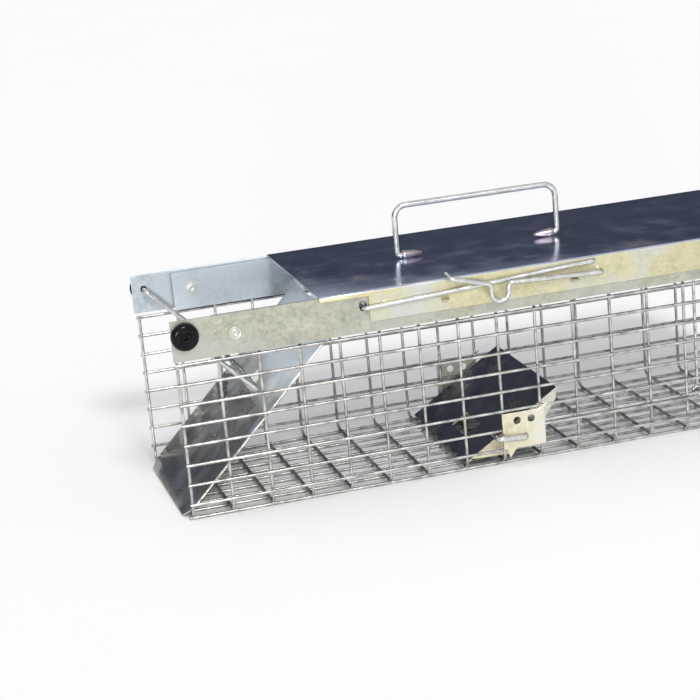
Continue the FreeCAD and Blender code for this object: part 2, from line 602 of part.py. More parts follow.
def trip_rod():
    """The outer rod: a hooked front end, a finger loop, a pivot through the rails and a crank."""
    x, z = on_rail(TRIP_PIVOT)
    hook = ROD_ZERO + TRIP_HOOK
    left = ROD_ZERO + LOOP_MIDDLE - LOOP_WIDTH / 2
    right = left + LOOP_WIDTH
    low_z, top_z = RAIL_Z + LOOP_BOTTOM, RAIL_Z + LOOP_TOP
    points = [at(hook, -TRIP_Y + 5.2, PLATE_TOP + 2.8), at(hook + 1.3, -TRIP_Y, PLATE_TOP + 0.4),
              at(left, -TRIP_Y, top_z), at(left, -TRIP_Y, low_z), at(right, -TRIP_Y, low_z),
              at(right, -TRIP_Y, top_z - 0.6), at(x, -TRIP_Y, z), at(x, -CRANK_Y, z),
              at(LINK_X, -CRANK_Y, z), at(LINK_X, LINK_Y + EYE_PIN, z)]
    round_bottom = LOOP_WIDTH / 2 - 0.01
    tight = ROD_R + 0.9
    return bent_wire(points, ROD_R, [3.0, 3.0, round_bottom, round_bottom, 3.0, tight, tight, tight])


def catch_rod():
    """The inner rod: its tip turned in through the rails' slot, its rear end pivoting in them."""
    tip_x, tip_z = on_rail(CATCH_TIP)
    rest_x, rest_z = on_rail(CATCH_REST)
    x, z = on_rail(CATCH_PIVOT)
    points = [at(tip_x, -DOOR_WIDTH / 2 + 2.0, tip_z), at(tip_x, -CATCH_Y, tip_z),
              at(rest_x, -CATCH_Y, rest_z), at(x - 18.0, -CATCH_Y, z - 0.8),
              at(x, -CATCH_Y, z), at(x, -RAIL_Y - 0.05, z)]
    return bent_wire(points, ROD_R, [3.0, 40.0, 40.0, ROD_R + 0.6])


def build():
    os.makedirs("parts", exist_ok=True)
    save("mesh_near_side", side_mesh(NEAR))
    save("mesh_far_side", side_mesh(FAR))
    save("mesh_floor", floor_mesh())
    save("mesh_rear_end", rear_mesh())
    save("corner_clips", corner_clips())
    save("near_outer_rail", outer_rail(NEAR))
    save("far_outer_rail", outer_rail(FAR))
    save("near_inner_rail", inner_rail(NEAR))
    save("far_inner_rail", inner_rail(FAR))
    save("rail_rivets", rail_rivets())
    save("top_plate", top_plate())
    save("carry_handle", carry_handle())
    save("door_panel", door_panel())
    save("door_hinge_pin", door_hinge_pin())
    save("lock_bail", lock_bail())
    save("near_bail_cap", bail_cap(NEAR))
    save("far_bail_cap", bail_cap(FAR))
    save("trip_pan", trip_pan())
    save("pan_axle", pan_axle())
    save("axle_push_nut", axle_push_nut())
    save("near_bearing_plate", bearing_plate(NEAR))
    save("far_bearing_plate", bearing_plate(FAR))
    save("pan_arm", pan_arm())
    save("trip_link", trip_link())
    save("trip_rod", trip_rod())
    save("catch_rod", catch_rod())


build()
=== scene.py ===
"""Looks of the live catch trap: finishes, rounded sheet-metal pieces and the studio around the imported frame."""

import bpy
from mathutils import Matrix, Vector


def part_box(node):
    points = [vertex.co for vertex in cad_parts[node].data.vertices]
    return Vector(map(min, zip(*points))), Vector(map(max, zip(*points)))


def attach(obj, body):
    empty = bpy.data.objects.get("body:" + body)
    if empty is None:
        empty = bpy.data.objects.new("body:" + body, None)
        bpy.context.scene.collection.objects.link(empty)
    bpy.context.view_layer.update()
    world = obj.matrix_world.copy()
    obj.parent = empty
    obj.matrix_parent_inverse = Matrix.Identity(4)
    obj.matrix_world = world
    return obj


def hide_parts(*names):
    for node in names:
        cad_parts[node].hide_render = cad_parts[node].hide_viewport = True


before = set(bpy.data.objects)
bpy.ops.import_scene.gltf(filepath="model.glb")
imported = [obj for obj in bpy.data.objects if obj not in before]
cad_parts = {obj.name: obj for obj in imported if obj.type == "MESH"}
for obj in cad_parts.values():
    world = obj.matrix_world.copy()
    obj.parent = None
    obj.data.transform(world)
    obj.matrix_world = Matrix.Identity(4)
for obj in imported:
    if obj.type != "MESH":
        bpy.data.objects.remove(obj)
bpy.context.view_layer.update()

import math

import bmesh
import bpy
from bpy.props import FloatProperty, FloatVectorProperty, PointerProperty
from mathutils import Matrix, Vector

bl_info = {
    "name": "Live Catch Trap",
    "version": (1, 0, 0),
    "blender": (4, 5, 0),
    "location": "View3D > Sidebar > Trap",
    "description": "Finishes and detailed pieces of a live catch trap around its packed frame",
    "category": "Object",
}

MM = 0.001
WIRE_END = 1.6
ENTRANCE_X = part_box("mesh_near_side")[0].x / MM + WIRE_END   # the first upright, in millimetres
SIDES = (("near", -1), ("far", 1))

# Places in millimetres, X counted from the first upright as in the frame's source.
CELL_LONG = 25.4
CELL_HIGH = 12.7
COLUMNS = 18
SIDE_ROWS = 8
FLOOR_WIRES = 10
FIRST_ROW_Z = 11.46
WIRE_R = 0.95
SIDE_Y = 63.85
UPRIGHT_Y = 61.93
CROSS_Z = 2.87
RAIL_Z = 103.0
PLATE_TOP = 129.3
DOOR_HINGE = (106.84, 112.1)
DOOR_SLOPE = math.radians(45)
DOOR_SHEET = 0.9
DOOR_HALF = 55.56
DOOR_CUTS = (-31.06, -12.5, -5.5, 5.5, 12.5, 31.06)       # sides of the knuckle gaps and of the window
DOOR_WINDOW = (60.9, 72.9)                                # from the hinge towards the tip
DOOR_STATIONS = (1.5, 3.2, 8.0, *DOOR_WINDOW, 150.4, 157.4)
HEM_END = 5.0
TAB_HALF = 4.5
TAB = ((73.7, 0.0), (73.5, 0.9), (72.9, 4.0), (71.8, 8.0), (70.4, 11.4), (69.4, 12.8), (68.4, 13.2))
KNUCKLE_STARTS = (-55.56, -12.0, 31.56)
EAR = ((-2.1, 1.75), (-0.8, 9.6), (1.8, 10.0), (4.2, 8.6), (2.8, 1.75))
RIVETS = ((36.5, 65.82), (419.1, 66.74))                  # distance along, and the face that the button is on
RIVET_Z = 115.6
INNER_FACE_Y = 60.26
FLANGE_Y = 66.74                                          # the plate's outer face
FLANGE_START = 121.0
PLATE_START = 90.0
PLATE_REAR = 437.54
PLATE_SHEET = 0.9
PLATE_HEIGHTS = (109.5, 125.7, PLATE_TOP)                 # flange's lower edge, the notch's, the top
HANDLE_X = 215.9
SOCKET_MOUTH = 52.0
SOCKET_AXIS_Z = 131.5
GUIDES = ((169.5, 117.0), (255.0, 116.6))
GUIDE_R = 2.7
BAIL_PIVOT = (5.5, 118.8)
CAP_START = 66.17

# Turned outlines as (radius, distance along the axis) in millimetres.
BUTTON = ((0, 0.1), (0.9, 0.15), (1.2, 0.7), (1.7, 1.1), (2.3, 0.95), (2.7, 0.35), (3.1, 0.25), (3.5, 0.6),
          (3.9, 0.5), (4.2, 0.0), (4.2, -0.2), (0, -0.2))
SOCKET = ((0, 8.0), (1.95, 8.0), (1.95, 0), (2.75, 0), (2.95, 0.2), (2.9, 2.2), (2.65, 5.2), (2.2, 8.4),
          (1.5, 11.4), (0.8, 13.3), (0, 14.0))
CAP = ((0, 5.3), (0.9, 5.4), (1.2, 6.2), (1.6, 6.9), (2.2, 7.1), (2.8, 7.0), (3.15, 6.4), (3.4, 5.7), (3.9, 5.5),
       (4.8, 5.85), (6.0, 5.9), (7.1, 5.5), (7.9, 4.8), (8.4, 3.9), (8.6, 2.9), (8.6, 0.9), (8.45, 0.25),
       (8.0, 0), (1.55, 0), (1.55, 4.4), (0, 4.4))


# ---- small tools ----

def srgb(text):
    """A hex colour as linear red, green and blue."""
    parts = [int(text[start:start + 2], 16) / 255 for start in (1, 3, 5)]
    return [part / 12.92 if part <= 0.04045 else ((part + 0.055) / 1.055) ** 2.4 for part in parts]


def place(x, y, z):
    """A point in metres from millimetres, X counted from the first upright."""
    return Vector((ENTRANCE_X + x, y, z)) * MM


def add(tree, kind, settings=None, links=None):
    """Adds a node; settings name its properties or sockets, links join its sockets to outputs."""
    made = tree.nodes.new(kind)
    for key, value in (settings or {}).items():
        if isinstance(key, int) or key in made.inputs:
            made.inputs[key].default_value = value
        else:
            setattr(made, key, value)
    for socket, source in (links or {}).items():
        tree.links.new(source, made.inputs[socket])
    return made


def blank(name, **constants):
    """A new material, its tree, its shader and its Object coordinates."""
    made = bpy.data.materials.new(name)
    made.use_nodes = True
    tree = made.node_tree
    shader = tree.nodes["Principled BSDF"]
    for key, value in constants.items():
        shader.inputs[key.replace("_", " ").title().replace("Ior", "IOR")].default_value = value
    return made, tree, shader, add(tree, "ShaderNodeTexCoord").outputs["Object"]


def stretched(tree, where, scale, turn=0.0):
    """Coordinates scaled per axis, after a turn about Y."""
    return add(tree, "ShaderNodeMapping", {"Rotation": (0, turn, 0), "Scale": scale}, {"Vector": where}).outputs[0]


def noise(tree, where, size_mm, detail=3.0, roughness=0.5):
    """Noise whose blotches are about the given size."""
    return add(tree, "ShaderNodeTexNoise", {"Scale": 1 / (size_mm * MM), "Detail": detail, "Roughness": roughness},
               {"Vector": where}).outputs["Fac"]


def span(tree, value, low, high, start=0.3, end=0.7):
    """A value from start..end mapped to low..high."""
    return add(tree, "ShaderNodeMapRange", {"From Min": start, "From Max": end, "To Min": low, "To Max": high},
               {"Value": value}).outputs[0]


def blend(tree, factor, first, second):
    """Two colours or colour outputs mixed by a factor output."""
    settings, links = {"data_type": "RGBA"}, {0: factor}
    made = add(tree, "ShaderNodeMix", settings, links)
    for socket, colour in ((6, first), (7, second)):
        if isinstance(colour, bpy.types.NodeSocket):
            tree.links.new(colour, made.inputs[socket])
        else:
            made.inputs[socket].default_value = (*colour, 1.0)
    return made.outputs[2]


def raise_up(tree, shader, height, depth_mm, strength=1.0):
    """Bump from a height output."""
    bump = add(tree, "ShaderNodeBump", {"Distance": depth_mm * MM, "Strength": strength}, {"Height": height})
    tree.links.new(bump.outputs[0], shader.inputs["Normal"])


# ---- finishes ----

def spangled_zinc(name, light, dark, painted_sheen, spangle_mm=2.0):
    """Hot-dip galvanised sheet: faint zinc crystals a few millimetres across under a cloudy bloom, with a painted
    sheen in large random patches.
    """
    made, tree, shader, where = blank(name, metallic=0.62)
    wander = add(tree, "ShaderNodeTexNoise", {"Scale": 1 / (1.5 * MM), "Detail": 2.0}, {"Vector": where})
    bent = add(tree, "ShaderNodeMix", {"data_type": "VECTOR", 0: 0.0016},
               {4: where, 5: wander.outputs["Color"]}).outputs[1]
    cells = add(tree, "ShaderNodeTexVoronoi", {"Scale": 1 / (spangle_mm * MM)}, {"Vector": bent})
    crystal = add(tree, "ShaderNodeSeparateColor", links={"Color": cells.outputs["Color"]}).outputs[0]
    cloud = noise(tree, where, 9, 7, 0.72)
    tone = add(tree, "ShaderNodeMath", {"operation": "MULTIPLY_ADD", 1: 0.22}, {0: crystal, 2: cloud}).outputs[0]
    base = blend(tree, span(tree, tone, 0.0, 1.0, 0.38, 0.84), dark, light)
    # Painted sheen: large random patches turn the colour towards the third colour, standing in for the sheen that the
    # sheet reflects.
    painted_sheen_patches = span(tree, noise(tree, where, 46, 2), 0.0, 0.8, 0.46, 0.62)
    tree.links.new(blend(tree, painted_sheen_patches, base, painted_sheen), shader.inputs["Base Color"])
    tree.links.new(span(tree, tone, 0.44, 0.30, 0.38, 0.92), shader.inputs["Roughness"])
    raise_up(tree, shader, cloud, 0.12, 0.35)
    return made


def rolled_zinc(name, light, dark, tint, streak, roughness=(0.10, 0.24), turn=0.0, painted_light_heights_mm=None):
    """Smooth cold-rolled sheet with a thin zinc coat: near mirror, with rolling streaks, smudges and, where heights
    are given, painted light that makes the sheet paler higher up.
    """
    made, tree, shader, where = blank(name, metallic=1.0)
    rolled = noise(tree, stretched(tree, where, streak, turn), 6, 4)
    smudge = noise(tree, where, 22, 4, 0.6)
    base = blend(tree, span(tree, rolled, 0.0, 1.0), dark, light)
    base = blend(tree, span(tree, smudge, 0.0, 0.8, 0.5, 0.68), base, tint)
    matt = span(tree, smudge, *roughness)
    # Painted light: between the given heights the colour turns to the pale tint (with less metal and more roughness),
    # so the sheet is paler towards its top.
    if painted_light_heights_mm:
        height = add(tree, "ShaderNodeSeparateXYZ", links={0: where}).outputs[2]
        wavy = add(tree, "ShaderNodeMath", {"operation": "MULTIPLY_ADD", 1: 0.05}, {0: smudge, 2: height}).outputs[0]
        rise = span(tree, wavy, 0.0, 1.0, *[mark * MM for mark in painted_light_heights_mm])
        base = blend(tree, rise, base, tint)
        matt = add(tree, "ShaderNodeMath", {"operation": "MULTIPLY_ADD", 1: 0.24}, {0: rise, 2: matt}).outputs[0]
        tree.links.new(span(tree, rise, 1.0, 0.5, 0.0, 1.0), shader.inputs["Metallic"])
    tree.links.new(base, shader.inputs["Base Color"])
    tree.links.new(matt, shader.inputs["Roughness"])
    raise_up(tree, shader, rolled, 0.02, 0.25)
    return made


def zinc_wire(name, light, dark, roughness, lump_mm, depth_mm, **constants):
    """Round wire with a zinc coat: bright along the top of its round, with slight lumps from the bath."""
    made, tree, shader, where = blank(name, **{"metallic": 1.0, **constants})
    lumps = noise(tree, where, lump_mm, 3)
    tree.links.new(blend(tree, span(tree, lumps, 0.0, 1.0), dark, light), shader.inputs["Base Color"])
    tree.links.new(span(tree, noise(tree, where, 9), *roughness), shader.inputs["Roughness"])
    raise_up(tree, shader, lumps, depth_mm, 0.6)
    return made


def moulded_black(name, colour):
    """Glossy injection-moulded cap: deep black with a faint orange-peel gloss."""
    made, tree, shader, where = blank(name, ior=1.5, specular_ior_level=0.17)
    peel = noise(tree, where, 1.2, 2)
    dust = span(tree, noise(tree, where, 5, 5, 0.7), 0.0, 0.5, 0.55, 0.75)
    tree.links.new(blend(tree, dust, colour, [part * 3 + 0.004 for part in colour]), shader.inputs["Base Color"])
    tree.links.new(span(tree, peel, 0.14, 0.22), shader.inputs["Roughness"])
    raise_up(tree, shader, peel, 0.02, 0.4)
    return made


def painted_floor(name, colour):
    """Matt pale studio floor: a very faint mottle."""
    made, tree, shader, where = blank(name, roughness=0.9, specular_ior_level=0.1)
    mottle = noise(tree, where, 300, 3)
    tree.links.new(blend(tree, mottle, colour, [part * 0.985 for part in colour]), shader.inputs["Base Color"])
    return made


def dress(node, finish):
    """Gives a CAD node's slots a finish."""
    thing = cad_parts[node]
    for held in thing.material_slots:
        held.material = finish


def settle(mesh, name, finishes, body, nodes=(), edge_mm=0.0, segments=2, angle=35, wall_mm=0.0):
    """Makes the finished bmesh a piece that rides on its body and stands for its nodes."""
    data = bpy.data.meshes.new(name)
    mesh.to_mesh(data)
    mesh.free()
    for finish in finishes if isinstance(finishes, tuple) else (finishes,):
        data.materials.append(finish)
    piece = bpy.data.objects.new(name, data)
    bpy.context.scene.collection.objects.link(piece)
    data.shade_smooth()
    data.set_sharp_from_angle(angle=math.radians(angle))
    if wall_mm:
        made = piece.modifiers.new("wall", "SOLIDIFY")
        made.thickness = wall_mm * MM
        made.offset = -1
        made.use_even_offset = True
    if edge_mm:
        made = piece.modifiers.new("worn edges", "BEVEL")
        made.width = edge_mm * MM
        made.segments = segments
        made.limit_method = "ANGLE"
        made.angle_limit = math.radians(angle)
    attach(piece, body)
    if nodes:
        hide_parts(*nodes)
    return piece


def chain(mesh, points):
    """A line of edges through points in millimetres."""
    verts = [mesh.verts.new(Vector(point) * MM) for point in points]
    return [mesh.edges.new(pair) for pair in zip(verts, verts[1:])]


def drawn_out(mesh, edges, move):
    """Extrudes edges to faces by a move in millimetres and returns the new edges."""
    made = bmesh.ops.extrude_edge_only(mesh, edges=edges)["geom"]
    bmesh.ops.translate(mesh, verts=[item for item in made if isinstance(item, bmesh.types.BMVert)],
                        vec=Vector(move) * MM)
    return [item for item in made if isinstance(item, bmesh.types.BMEdge)
            and all(vert in made for vert in item.verts)]


def bend(mesh, edges, radius_mm, segments=4):
    """Rounds fold lines."""
    bmesh.ops.bevel(mesh, geom=edges, offset=radius_mm * MM, offset_type="OFFSET", segments=segments,
                    profile=0.5, affect="EDGES", material=-1)


def lines_at(mesh, test):
    """The edges both of whose ends pass a test of their place in millimetres."""
    return [edge for edge in mesh.edges if all(test(vert.co / MM) for vert in edge.verts)]


def moved(mesh, matrix):
    """Puts the whole mesh in its place."""
    bmesh.ops.transform(mesh, matrix=matrix, verts=mesh.verts)
    return mesh


def gathered(meshes):
    """Several meshes as one."""
    whole = bmesh.new()
    for mesh in meshes:
        data = bpy.data.meshes.new("part")
        mesh.to_mesh(data)
        mesh.free()
        whole.from_mesh(data)
        bpy.data.meshes.remove(data)
    return whole


def copied(node):
    """A merged copy of a CAD node's mesh with its flat faces whole again."""
    mesh = bmesh.new()
    mesh.from_mesh(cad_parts[node].data)
    bmesh.ops.remove_doubles(mesh, verts=mesh.verts, dist=0.002 * MM)
    bmesh.ops.dissolve_limit(mesh, angle_limit=math.radians(0.5), verts=mesh.verts, edges=mesh.edges)
    return mesh


def turned(outline, axis_point, axis, steps):
    """A round shape: a closed or open outline of (radius, along) turned about an axis, in millimetres."""
    mesh = bmesh.new()
    verts = [mesh.verts.new(Vector((radius, 0, along)) * MM) for radius, along in outline]
    edges = [mesh.edges.new(pair) for pair in zip(verts, verts[1:])]
    bmesh.ops.spin(mesh, geom=verts + edges, cent=(0, 0, 0), axis=(0, 0, 1), angle=math.tau, steps=steps,
                   use_merge=True)
    bmesh.ops.remove_doubles(mesh, verts=mesh.verts, dist=0.003 * MM)
    bmesh.ops.recalc_face_normals(mesh, faces=mesh.faces)
    turn = Vector((0, 0, 1)).rotation_difference(Vector(axis)).to_matrix().to_4x4()
    bmesh.ops.transform(mesh, matrix=Matrix.Translation(axis_point) @ turn, verts=mesh.verts)
    return mesh


# ---- properties ----

class TrapSizes(bpy.types.PropertyGroup):
    edge: FloatProperty(name="Edge wear", description="Rounding of the cut sheet's edges, mm",
                        default=0.18, min=0.02, max=0.4)
    rail_edge: FloatProperty(name="Rail edge", description="Rounding of the side rails' rolled edges, mm",
                             default=0.46, min=0.1, max=0.48)
    plate_bend: FloatProperty(name="Plate bend", description="Outer radius at the top plate's folds, mm",
                              default=1.5, min=0.9, max=3.0)
    weld: FloatProperty(name="Weld fillet", description="Radius of the zinc at each mesh crossing, mm",
                        default=1.25, min=1.0, max=1.6)


class TrapColours(bpy.types.PropertyGroup):
    floor: FloatVectorProperty(name="Floor", description="Studio floor", subtype="COLOR",
                               default=srgb("#fdfdfc"), min=0, max=1)


# ---- pieces ----

class TRAP_OT_mesh(bpy.types.Operator):
    """Finishes the welded mesh and its corner clips and adds the zinc fillets at its welds"""
    bl_idname = "trap.mesh"
    bl_label = "Welded mesh"

    def execute(self, context):
        finish = zinc_wire("galvanised_mesh_wire", srgb("#dcdbd7"), srgb("#96948f"), (0.19, 0.30), 7.0, 0.03,
                           metallic=0.86, specular_tint=(0.12, 0.12, 0.14, 1))
        for node in ("mesh_near_side", "mesh_far_side", "mesh_floor", "mesh_rear_end"):
            dress(node, finish)
        dress("corner_clips", zinc_wire("clip_steel_band", srgb("#c9cbcc"), srgb("#9a9c9d"), (0.2, 0.35), 2.0, 0.04))
        size = context.scene.trap_sizes.weld
        columns = [column * CELL_LONG for column in range(COLUMNS)]
        spots = [(x, side * (SIDE_Y + UPRIGHT_Y) / 2, FIRST_ROW_Z + CELL_HIGH * row, (1, 0.8, 1))
                 for side in (-1, 1) for x in columns for row in range(SIDE_ROWS)]
        spots += [(x, (wire - (FLOOR_WIRES - 1) / 2) * CELL_HIGH, (CROSS_Z + WIRE_R) / 2, (1, 1, 0.8))
                  for x in columns for wire in range(FLOOR_WIRES)]
        mesh = bmesh.new()
        for x, y, z, shape in spots:
            bmesh.ops.create_icosphere(mesh, subdivisions=2, radius=size * MM,
                                       matrix=Matrix.Translation(place(x, y, z)) @ Matrix.Diagonal((*shape, 1)))
        settle(mesh, "mesh_weld_fillets", finish, "cage", angle=80)
        return {"FINISHED"}


class TRAP_OT_rails(bpy.types.Operator):
    """Makes the galvanised rails with rounded edges and their clinch buttons"""
    bl_idname = "trap.rails"
    bl_label = "Side rails"

    def execute(self, context):
        edge = context.scene.trap_sizes.rail_edge
        outer = spangled_zinc("galvanised_rail_sheet", srgb("#bcbbab"), srgb("#949487"), srgb("#aeb0a8"))
        inner = spangled_zinc("galvanised_inner_sheet", srgb("#c6ced4"), srgb("#9fa8b0"), srgb("#b9c3ca"))
        for side, _ in SIDES:
            finish = outer if side == "near" else inner
            settle(copied(f"{side}_outer_rail"), f"{side}_outer_rail_sheet", finish, "cage",
                   (f"{side}_outer_rail",), edge, 3)
            settle(copied(f"{side}_inner_rail"), f"{side}_inner_rail_sheet", inner, "cage",
                   (f"{side}_inner_rail",), edge * 0.6, 3)
        buttons = []
        for _, side in SIDES:
            for x, face in RIVETS:
                buttons.append(turned(BUTTON, place(x, side * face, RIVET_Z), (0, side, 0), 40))
                flat = [(radius, along * 0.45) for radius, along in BUTTON]
                buttons.append(turned(flat, place(x, side * INNER_FACE_Y, RIVET_Z), (0, -side, 0), 40))
        finish = spangled_zinc("clinched_zinc", srgb("#cfcfc6"), srgb("#a5a59c"), srgb("#c2c6c7"), 1.5)
        settle(gathered(buttons), "clinch_buttons", finish, "cage", ("rail_rivets",), angle=60)
        return {"FINISHED"}


class TRAP_OT_plate(bpy.types.Operator):
    """Folds the top plate, with its flanges, handle sockets and rod guides"""
    bl_idname = "trap.plate"
    bl_label = "Top plate"

    def execute(self, context):
        sizes = context.scene.trap_sizes
        top = rolled_zinc("rolled_plate_sheet", srgb("#c8d0e2"), srgb("#b8c1d6"), srgb("#ded8e0"), (0.12, 1.0, 1.0))
        flange = spangled_zinc("galvanised_flange_sheet", srgb("#d3cda8"), srgb("#b9b492"), srgb("#c2c7cb"), 1.8)
        mesh = bmesh.new()
        profile = [(0, side * FLANGE_Y, z) for side, heights in ((-1, PLATE_HEIGHTS), (1, PLATE_HEIGHTS[::-1]))
                   for z in heights]
        edges = chain(mesh, profile)
        rear = drawn_out(mesh, edges, (PLATE_REAR - FLANGE_START, 0, 0))
        drawn_out(mesh, edges[1:-1], (PLATE_START - FLANGE_START, 0, 0))
        across = [edge for edge in rear if all(vert.co.z / MM > PLATE_TOP - 0.01 for vert in edge.verts)]
        drawn_out(mesh, across, (0, 0, PLATE_HEIGHTS[0] - PLATE_TOP))
        folds = [edge for edge in lines_at(mesh, lambda spot: spot.z > PLATE_TOP - 0.01) if len(edge.link_faces) == 2
                 and abs(edge.link_faces[0].normal.dot(edge.link_faces[1].normal)) < 0.5]
        bmesh.ops.recalc_face_normals(mesh, faces=mesh.faces)
        bend(mesh, folds, sizes.plate_bend)
        upper = max(mesh.faces, key=lambda face: face.calc_area())
        if upper.normal.z < 0:
            bmesh.ops.reverse_faces(mesh, faces=mesh.faces)
        for face in mesh.faces:
            face.material_index = int(max(abs(face.normal.x), abs(face.normal.y)) > 0.9)
        moved(mesh, Matrix.Translation(place(FLANGE_START, 0, 0)))
        settle(mesh, "top_plate_sheet", (top, flange), "cage", ("top_plate",), sizes.edge,
               wall_mm=PLATE_SHEET)
        sockets = []
        for end in (-1, 1):
            mouth = place(HANDLE_X + end * SOCKET_MOUTH, 0, SOCKET_AXIS_Z)
            sockets.append(turned(SOCKET, mouth, (-end, 0, 0), 48))
        mesh = gathered(sockets)
        bmesh.ops.bisect_plane(mesh, geom=[*mesh.verts, *mesh.edges, *mesh.faces],
                               plane_co=place(0, 0, PLATE_TOP - 0.2), plane_no=(0, 0, -1), clear_outer=True)
        # The sockets' pinkish colours are a painted reflection.
        pink_reflection_socket_finish = rolled_zinc("socket_sheet_painted_pink_reflection", srgb("#b1a6ab"), srgb("#857d86"), srgb("#c7b7b6"), (1.0, 1.0, 1.0),
                             (0.30, 0.42))
        settle(mesh, "handle_sockets", pink_reflection_socket_finish, "cage", angle=50)
        cups = []
        for x, z in GUIDES:
            mesh = bmesh.new()
            bmesh.ops.create_uvsphere(mesh, u_segments=32, v_segments=16, radius=GUIDE_R * MM)
            for facing in ((0, 1, 0), (0, 0, 1)):
                bmesh.ops.bisect_plane(mesh, geom=[*mesh.verts, *mesh.edges, *mesh.faces], plane_co=(0, 0, 0),
                                       plane_no=facing, clear_outer=True)
            cups.append(moved(mesh, Matrix.Translation(place(x, 0.1 - FLANGE_Y, z))))
        settle(gathered(cups), "rod_guides", flange, "cage", angle=50, wall_mm=PLATE_SHEET)
        return {"FINISHED"}


class TRAP_OT_rods(bpy.types.Operator):
    """Finishes the handle, the bail, the rods and the link"""
    bl_idname = "trap.rods"
    bl_label = "Rods and handle"

    def execute(self, context):
        finish = zinc_wire("bright_zinc_rod", srgb("#efefec"), srgb("#cacbca"), (0.16, 0.28), 5.0, 0.01,
                           specular_tint=(0.1, 0.11, 0.14, 1))
        for node in ("carry_handle", "lock_bail", "door_hinge_pin", "pan_axle", "pan_arm", "trip_link", "trip_rod",
                     "catch_rod", "axle_push_nut"):
            dress(node, finish)
        return {"FINISHED"}


class TRAP_OT_door(bpy.types.Operator):
    """Folds the door with its hemmed sides, knuckles, lock tab and catch ear"""
    bl_idname = "trap.door"
    bl_label = "Door"

    def execute(self, context):
        sizes = context.scene.trap_sizes
        # The door's last two numbers are the heights, in mm, over which painted light makes it paler towards its top.
        finish = rolled_zinc("rolled_door_sheet", srgb("#cccabf"), srgb("#b4b2a7"), srgb("#eaf0f4"),
                             (0.08, 1.0, 1.0), (0.24, 0.30), DOOR_SLOPE, (80, 104))
        turn = Matrix.Translation(place(DOOR_HINGE[0], 0, DOOR_HINGE[1])) @ Matrix.Rotation(-DOOR_SLOPE, 4, "Y")
        mesh = bmesh.new()
        half = DOOR_HALF
        level = DOOR_SHEET / 2
        cuts = (-half, *DOOR_CUTS, half)
        profile = ([(0, HEM_END - half, level - 2 * DOOR_SHEET), (0, -half, level - 2 * DOOR_SHEET)]
                   + [(0, y, level) for y in cuts]
                   + [(0, half, level - 2 * DOOR_SHEET), (0, half - HEM_END, level - 2 * DOOR_SHEET)])
        edges = chain(mesh, [(-DOOR_STATIONS[0], y, z) for _, y, z in profile])
        for start, end in zip(DOOR_STATIONS, DOOR_STATIONS[1:]):
            edges = drawn_out(mesh, edges, (start - end, 0, 0))
        spare = []
        for face in mesh.faces:
            middle = face.calc_center_median() / MM
            along, y = -middle.x, abs(middle.y)
            in_window = y < DOOR_CUTS[-3] and DOOR_WINDOW[0] < along < DOOR_WINDOW[1]
            in_gap = DOOR_CUTS[-2] < y < DOOR_CUTS[-1] and along < DOOR_STATIONS[1]
            bare_end = middle.z < level - 0.01 and not DOOR_STATIONS[2] < along < DOOR_STATIONS[-2]
            if in_window or in_gap or bare_end:
                spare.append(face)
        bmesh.ops.delete(mesh, geom=spare, context="FACES")
        bmesh.ops.recalc_face_normals(mesh, faces=mesh.faces)
        folds = [edge for edge in mesh.edges if len(edge.link_faces) == 2
                 and abs(edge.link_faces[0].normal.dot(edge.link_faces[1].normal)) < 0.5]
        bend(mesh, folds, DOOR_SHEET * 0.95, 3)
        if max(mesh.faces, key=lambda face: face.calc_area()).normal.z < 0:
            bmesh.ops.reverse_faces(mesh, faces=mesh.faces)
        for side in (-1, 1):
            bmesh.ops.bisect_plane(mesh, geom=[*mesh.verts, *mesh.edges, *mesh.faces],
                                   plane_co=Vector((-DOOR_STATIONS[-2], side * half, 0)) * MM,
                                   plane_no=(-1, side, 0), clear_outer=True)
        settle(moved(mesh, turn), "door_panel_sheet", finish, "door", ("door_panel",), sizes.edge,
               wall_mm=DOOR_SHEET * 0.98)
        mesh = bmesh.new()
        tongue = chain(mesh, [(-along, -TAB_HALF, rise) for along, rise in TAB])
        drawn_out(mesh, tongue, (0, 2 * TAB_HALF, 0))
        bmesh.ops.recalc_face_normals(mesh, faces=mesh.faces)
        settle(moved(mesh, turn), "door_lock_tab", finish, "door", edge_mm=sizes.edge, angle=50,
               wall_mm=DOOR_SHEET)
        barrels = []
        for start in KNUCKLE_STARTS:
            outline = [(1.6, 0), (2.4, 0), (2.6, 0.2), (2.6, 23.8), (2.4, 24.0), (1.6, 24.0), (1.6, 0)]
            barrels.append(turned(outline, place(DOOR_HINGE[0], start, DOOR_HINGE[1]), (0, 1, 0), 32))
        ear = bmesh.new()
        verts = [ear.verts.new(Vector((x, 0, z)) * MM) for x, z in EAR]
        face = bmesh.ops.contextual_create(ear, geom=verts)["faces"]
        made = bmesh.ops.extrude_face_region(ear, geom=face)["geom"]
        bmesh.ops.translate(ear, verts=[item for item in made if isinstance(item, bmesh.types.BMVert)],
                            vec=(0, 1.5 * MM, 0))
        bmesh.ops.recalc_face_normals(ear, faces=ear.faces)
        barrels.append(moved(ear, Matrix.Translation(place(DOOR_HINGE[0], -DOOR_HALF, DOOR_HINGE[1]))))
        settle(gathered(barrels), "door_knuckles", finish, "door", angle=40)
        return {"FINISHED"}


